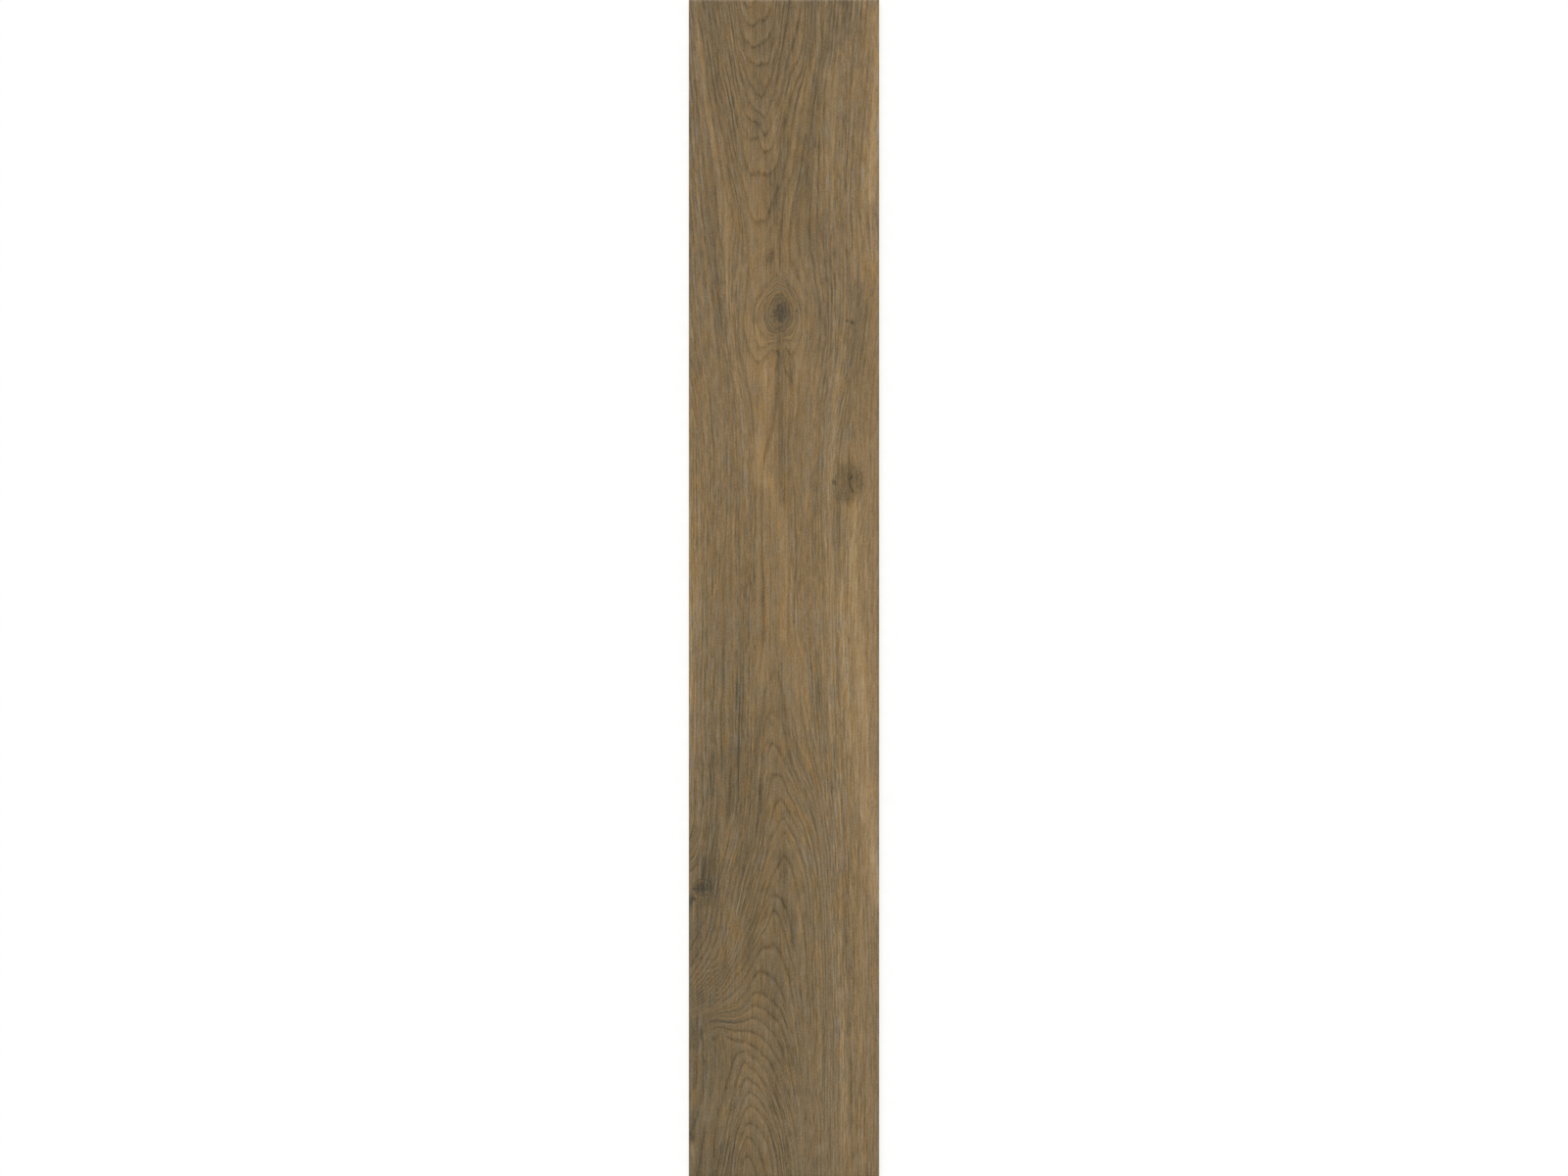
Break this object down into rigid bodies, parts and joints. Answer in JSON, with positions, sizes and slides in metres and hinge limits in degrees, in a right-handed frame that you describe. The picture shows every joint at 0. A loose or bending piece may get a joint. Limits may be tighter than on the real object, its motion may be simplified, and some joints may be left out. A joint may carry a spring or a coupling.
{
  "type": "wood look porcelain plank tile",
  "caption": "Long flat porcelain floor tile with a printed oak-grain face, softly rounded face edges, straight ground sides and a keyed waffle back for bedding in adhesive.",
  "frame": {"origin": "middle of the back, on the plane of the keying ribs that the tile lies on", "axes": "+Z out of the printed face, +Y along the length towards the picture's top edge, +X across the width towards the picture's right edge"},
  "size_m": [0.194, 1.2, 0.0095],
  "materials": {
    "printed_porcelain": "matt glazed porcelain with a printed brown oak grain; unglazed beige body on the edges and back"
  },
  "bodies": {
    "root": {"plank_tile": "printed_porcelain"}
  },
  "joints": []
}
